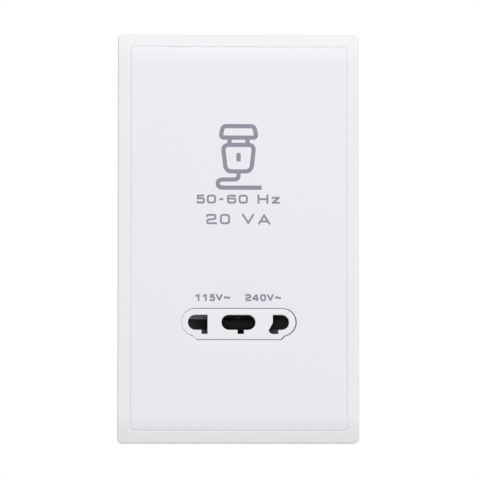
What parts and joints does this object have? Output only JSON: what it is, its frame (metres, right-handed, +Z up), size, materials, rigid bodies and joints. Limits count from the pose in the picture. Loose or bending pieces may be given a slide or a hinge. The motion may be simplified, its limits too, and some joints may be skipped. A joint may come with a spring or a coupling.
{
  "type": "shaver socket",
  "caption": "Dual-voltage shaver supply unit on an upright wall plate: shuttered pin apertures in a lozenge face, with an isolating transformer and wire terminals behind.",
  "frame": {"origin": "midway between the two fixing holes, on the wall plane", "axes": "+X to the right and +Z up as seen from the front, +Y into the wall"},
  "size_m": [0.086, 0.0473, 0.146],
  "materials": {
    "white_moulding": "smooth satin white moulding",
    "black_moulding": "black moulding",
    "grey_moulding": "pale grey moulding",
    "phosphor_bronze": "rolled spring strip",
    "spring_steel": "bright strip",
    "zinc_steel": "zinc plated",
    "clamp_brass": "machined",
    "switch_case": "moulded",
    "switch_button": "moulded",
    "tinned_tab": "tinned",
    "laminated_iron": "varnished laminations",
    "bobbin_nylon": "moulded",
    "enamelled_copper": "enamelled wire",
    "winding_film": "film tape",
    "brown_lead": "insulation",
    "blue_lead": "insulation",
    "green_lead": "insulation",
    "red_lead": "insulation",
    "black_lead": "insulation",
    "white_lead": "insulation"
  },
  "bodies": {
    "socket": {"back_housing": "grey_moulding", "bobbin": "bobbin_nylon", "bobbin_tags": "tinned_tab", "contact_115v": "phosphor_bronze", "contact_240v": "phosphor_bronze", "contact_carrier": "black_moulding", "contact_common": "phosphor_bronze", "cover_frame": "white_moulding", "front_panel": "white_moulding", "housing_screws": "zinc_steel", "lead_115v": "red_lead", "lead_240v": "white_lead", "lead_common": "black_lead", "lead_earth": "green_lead", "lead_live": "brown_lead", "lead_neutral": "blue_lead", "lead_primary": "brown_lead", "lead_switched": "brown_lead", "microswitch_body": "switch_case", "microswitch_lever": "phosphor_bronze", "microswitch_tabs": "tinned_tab", "module_screws": "zinc_steel", "mounting_base": "grey_moulding", "primary_winding": "enamelled_copper", "secondary_winding": "enamelled_copper", "shutter_spring_left": "spring_steel", "shutter_spring_right": "spring_steel", "socket_insert": "white_moulding", "terminal_block": "grey_moulding", "terminal_clamp_earth": "clamp_brass", "terminal_clamp_live": "clamp_brass", "terminal_clamp_neutral": "clamp_brass", "terminal_screws": "zinc_steel", "thermal_cutout": "switch_case", "thermal_cutout_tabs": "tinned_tab", "transformer_core": "laminated_iron", "transformer_screws": "zinc_steel", "winding_tape": "winding_film"},
    "left_shutter": {"shutter_left": "black_moulding"},
    "right_shutter": {"shutter_right": "black_moulding"},
    "switch_button": {"microswitch_button": "switch_button"}
  },
  "joints": [
    {"name": "left_shutter_slide", "type": "slide", "parent": "socket", "child": "left_shutter", "axis": [-1, 0, 0], "range_m": [0, 0.0075], "stiffness_N_per_m": 60, "springref_m": -0.005, "deforming": ["shutter_spring_left"]},
    {"name": "right_shutter_slide", "type": "slide", "parent": "socket", "child": "right_shutter", "axis": [1, 0, 0], "range_m": [0, 0.0082], "stiffness_N_per_m": 60, "springref_m": -0.005, "deforming": ["shutter_spring_right"]},
    {"name": "switch_button_press", "type": "slide", "parent": "socket", "child": "switch_button", "axis": [0, 0, 1], "range_m": [0, 0.0005], "stiffness_N_per_m": 800, "springref_m": -0.001, "deforming": ["microswitch_lever"]}
  ]
}
